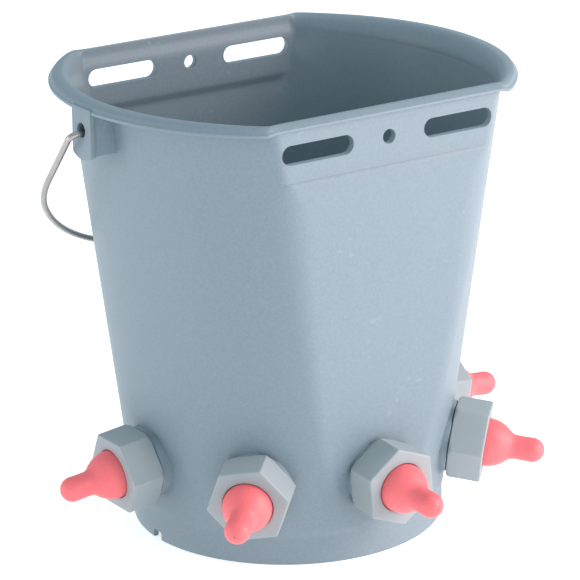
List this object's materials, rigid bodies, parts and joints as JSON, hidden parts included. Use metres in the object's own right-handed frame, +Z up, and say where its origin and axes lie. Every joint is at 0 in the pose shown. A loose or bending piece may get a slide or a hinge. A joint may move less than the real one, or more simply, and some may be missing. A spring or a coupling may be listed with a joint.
{
  "type": "lamb feeding bucket",
  "caption": "Bucket with two slotted flat sides for hanging on a gate, a wire bail, and screw-on rubber teats with ball valves low on its wall.",
  "frame": {"origin": "centre of the foot ring, at floor level, on the bucket's axis", "axes": "+Z up; the flat hanging sides face -Y and +Y; the bail's pivot axis is along X; the teats are on the -Y half"},
  "size_m": [0.3298, 0.2771, 0.2878],
  "materials": {
    "bucket_plastic": "semi-matte moulded polypropylene",
    "fitting_plastic": "semi-matte moulded plastic",
    "zinc_wire": "bright zinc-plated drawn wire",
    "teat_rubber": "satin rubber",
    "seal_rubber": "matte rubber",
    "valve_plastic": "glossy plastic"
  },
  "bodies": {
    "bucket_body": {"bucket": "bucket_plastic", "spigot_1": "fitting_plastic", "wall_seal_1": "seal_rubber", "lock_ring_1": "bucket_plastic", "spigot_2": "fitting_plastic", "wall_seal_2": "seal_rubber", "lock_ring_2": "bucket_plastic", "spigot_3": "fitting_plastic", "wall_seal_3": "seal_rubber", "lock_ring_3": "bucket_plastic", "spigot_4": "fitting_plastic", "wall_seal_4": "seal_rubber", "lock_ring_4": "bucket_plastic", "spigot_5": "fitting_plastic", "wall_seal_5": "seal_rubber", "lock_ring_5": "bucket_plastic"},
    "bail": {"bail_handle": "zinc_wire"},
    "teat_unit_1": {"teat_1": "teat_rubber"},
    "cap_1": {"cap_nut_1": "fitting_plastic"},
    "valve_1": {"valve_ball_1": "valve_plastic"},
    "teat_unit_2": {"teat_2": "teat_rubber"},
    "cap_2": {"cap_nut_2": "fitting_plastic"},
    "valve_2": {"valve_ball_2": "valve_plastic"},
    "teat_unit_3": {"teat_3": "teat_rubber"},
    "cap_3": {"cap_nut_3": "fitting_plastic"},
    "valve_3": {"valve_ball_3": "valve_plastic"},
    "teat_unit_4": {"teat_4": "teat_rubber"},
    "cap_4": {"cap_nut_4": "fitting_plastic"},
    "valve_4": {"valve_ball_4": "valve_plastic"},
    "teat_unit_5": {"teat_5": "teat_rubber"},
    "cap_5": {"cap_nut_5": "fitting_plastic"},
    "valve_5": {"valve_ball_5": "valve_plastic"}
  },
  "joints": [
    {"name": "bail_swing", "type": "hinge", "parent": "bucket_body", "child": "bail", "pos_m": [0, 0, 0.269], "axis": [1, 0, 0], "range_deg": [0, 271]},
    {"name": "teat_1_draw", "type": "slide", "parent": "bucket_body", "child": "teat_unit_1", "axis": [-0.9935, 0, -0.1137], "range_m": [0, 0.00975]},
    {"name": "cap_nut_1_turn", "type": "hinge", "parent": "teat_unit_1", "child": "cap_1", "pos_m": [-0.10481, 0, 0.0534], "axis": [-0.9935, 0, -0.1137], "range_deg": [0, 1170]},
    {"name": "valve_1_lift", "type": "slide", "parent": "bucket_body", "child": "valve_1", "axis": [-0.9935, 0, -0.1137], "range_m": [0, 0.003]},
    {"name": "teat_2_draw", "type": "slide", "parent": "bucket_body", "child": "teat_unit_2", "axis": [-0.713, -0.6885, -0.1329], "range_m": [0, 0.00975]},
    {"name": "cap_nut_2_turn", "type": "hinge", "parent": "teat_unit_2", "child": "cap_2", "pos_m": [-0.07255, -0.07367, 0.0534], "axis": [-0.713, -0.6885, -0.1329], "range_deg": [0, 1170]},
    {"name": "valve_2_lift", "type": "slide", "parent": "bucket_body", "child": "valve_2", "axis": [-0.713, -0.6885, -0.1329], "range_m": [0, 0.003]},
    {"name": "teat_3_draw", "type": "slide", "parent": "bucket_body", "child": "teat_unit_3", "axis": [0, -0.9982, -0.0604], "range_m": [0, 0.00975]},
    {"name": "cap_nut_3_turn", "type": "hinge", "parent": "teat_unit_3", "child": "cap_3", "pos_m": [0, -0.09923, 0.0534], "axis": [0, -0.9982, -0.0604], "range_deg": [0, 1170]},
    {"name": "valve_3_lift", "type": "slide", "parent": "bucket_body", "child": "valve_3", "axis": [0, -0.9982, -0.0604], "range_m": [0, 0.003]},
    {"name": "teat_4_draw", "type": "slide", "parent": "bucket_body", "child": "teat_unit_4", "axis": [0.713, -0.6885, -0.1329], "range_m": [0, 0.00975]},
    {"name": "cap_nut_4_turn", "type": "hinge", "parent": "teat_unit_4", "child": "cap_4", "pos_m": [0.07255, -0.07367, 0.0534], "axis": [0.713, -0.6885, -0.1329], "range_deg": [0, 1170]},
    {"name": "valve_4_lift", "type": "slide", "parent": "bucket_body", "child": "valve_4", "axis": [0.713, -0.6885, -0.1329], "range_m": [0, 0.003]},
    {"name": "teat_5_draw", "type": "slide", "parent": "bucket_body", "child": "teat_unit_5", "axis": [0.9935, 0, -0.1137], "range_m": [0, 0.00975]},
    {"name": "cap_nut_5_turn", "type": "hinge", "parent": "teat_unit_5", "child": "cap_5", "pos_m": [0.10481, 0, 0.0534], "axis": [0.9935, 0, -0.1137], "range_deg": [0, 1170]},
    {"name": "valve_5_lift", "type": "slide", "parent": "bucket_body", "child": "valve_5", "axis": [0.9935, 0, -0.1137], "range_m": [0, 0.003]}
  ],
  "couplings": [
    {"joint": "cap_nut_1_turn", "follows": "teat_1_draw", "rad_per_m": 2094.4},
    {"joint": "cap_nut_2_turn", "follows": "teat_2_draw", "rad_per_m": 2094.4},
    {"joint": "cap_nut_3_turn", "follows": "teat_3_draw", "rad_per_m": 2094.4},
    {"joint": "cap_nut_4_turn", "follows": "teat_4_draw", "rad_per_m": 2094.4},
    {"joint": "cap_nut_5_turn", "follows": "teat_5_draw", "rad_per_m": 2094.4}
  ]
}
